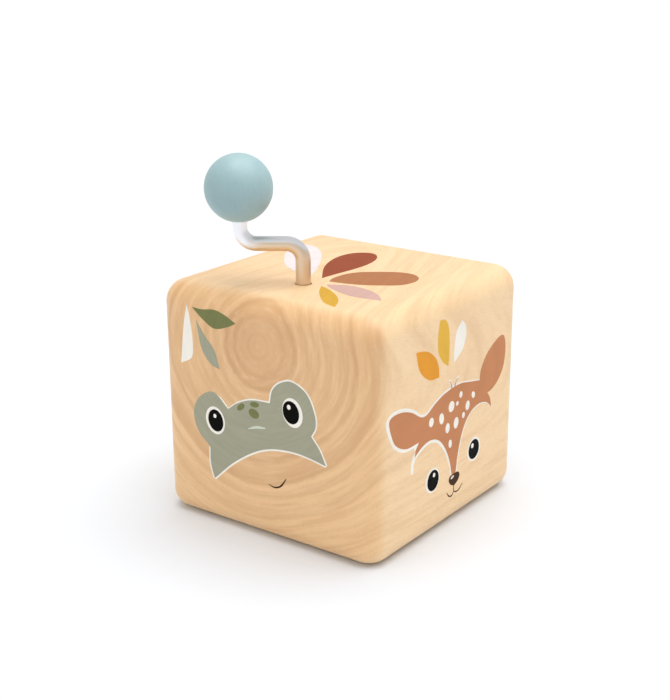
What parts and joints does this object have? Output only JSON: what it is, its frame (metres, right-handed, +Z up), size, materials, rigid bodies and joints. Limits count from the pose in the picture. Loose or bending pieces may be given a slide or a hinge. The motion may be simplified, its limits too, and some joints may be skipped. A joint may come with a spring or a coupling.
{
  "type": "hand-cranked music box",
  "caption": "Rounded wooden music box cube with a bent steel crank and a ball knob on top; turning the crank drives a pinned drum past a steel comb inside.",
  "frame": {"origin": "middle of the block's underside, on the surface that it stands on", "axes": "+Z up along the crank's axis, -Y out of the front face that shows the end grain and the frog, +X out of the face with the fawn"},
  "size_m": [0.09, 0.09, 0.1262],
  "materials": {
    "block_wood": "fine sanded pale solid wood with a satin clear coat",
    "plywood": "sanded birch plywood",
    "rod_steel": "polished nickel-plated steel",
    "ball_paint": "wood with satin light blue paint",
    "screw_steel": "zinc-plated steel",
    "shaft_steel": "drawn bright steel",
    "comb_steel": "ground spring steel",
    "zinc_casting": "bare die-cast zinc alloy",
    "brass": "turned brass",
    "lead": "dull soft metal",
    "nylon": "natural nylon",
    "ink_white": "matt water-based ink printed on wood",
    "ink_sage": "matt water-based ink printed on wood",
    "ink_olive": "matt water-based ink printed on wood",
    "ink_green": "matt water-based ink printed on wood",
    "ink_terracotta": "matt water-based ink printed on wood",
    "ink_red": "matt water-based ink printed on wood",
    "ink_pink": "matt water-based ink printed on wood",
    "ink_mustard": "matt water-based ink printed on wood",
    "ink_orange": "matt water-based ink printed on wood",
    "ink_black": "matt water-based ink printed on wood",
    "ink_brown": "matt water-based ink printed on wood"
  },
  "bodies": {
    "housing": {"block": "block_wood", "base_plate": "plywood", "base_screws": "screw_steel", "top_bush": "nylon", "thrust_washer": "nylon", "movement_frame": "zinc_casting", "frame_screws": "screw_steel", "worm_bridge": "zinc_casting", "bridge_screws": "screw_steel", "rear_bracket": "zinc_casting", "bracket_screws": "screw_steel", "comb": "comb_steel", "comb_screws": "screw_steel", "comb_weights": "lead"},
    "crank": {"crank_rod": "rod_steel", "worm_shaft": "shaft_steel", "worm": "brass"},
    "knob": {"knob_ball": "ball_paint", "knob_bush": "nylon"},
    "cylinder": {"drum_arbor": "shaft_steel", "drive_gear": "brass", "drum": "brass", "drum_end_caps": "brass", "drum_pins": "shaft_steel"}
  },
  "joints": [
    {"name": "crank_turn", "type": "hinge", "parent": "housing", "child": "crank", "pos_m": [-0.001, -0.0208, 0.083], "axis": [0, 0, 1], "continuous": true},
    {"name": "knob_spin", "type": "hinge", "parent": "crank", "child": "knob", "pos_m": [-0.01802, -0.03241, 0.115], "axis": [0, 0, 1], "continuous": true},
    {"name": "cylinder_turn", "type": "hinge", "parent": "housing", "child": "cylinder", "pos_m": [0.0099, -0.0208, 0.056], "axis": [0, 1, 0], "continuous": true}
  ],
  "couplings": [
    {"joint": "cylinder_turn", "follows": "crank_turn", "ratio": 0.045455}
  ]
}
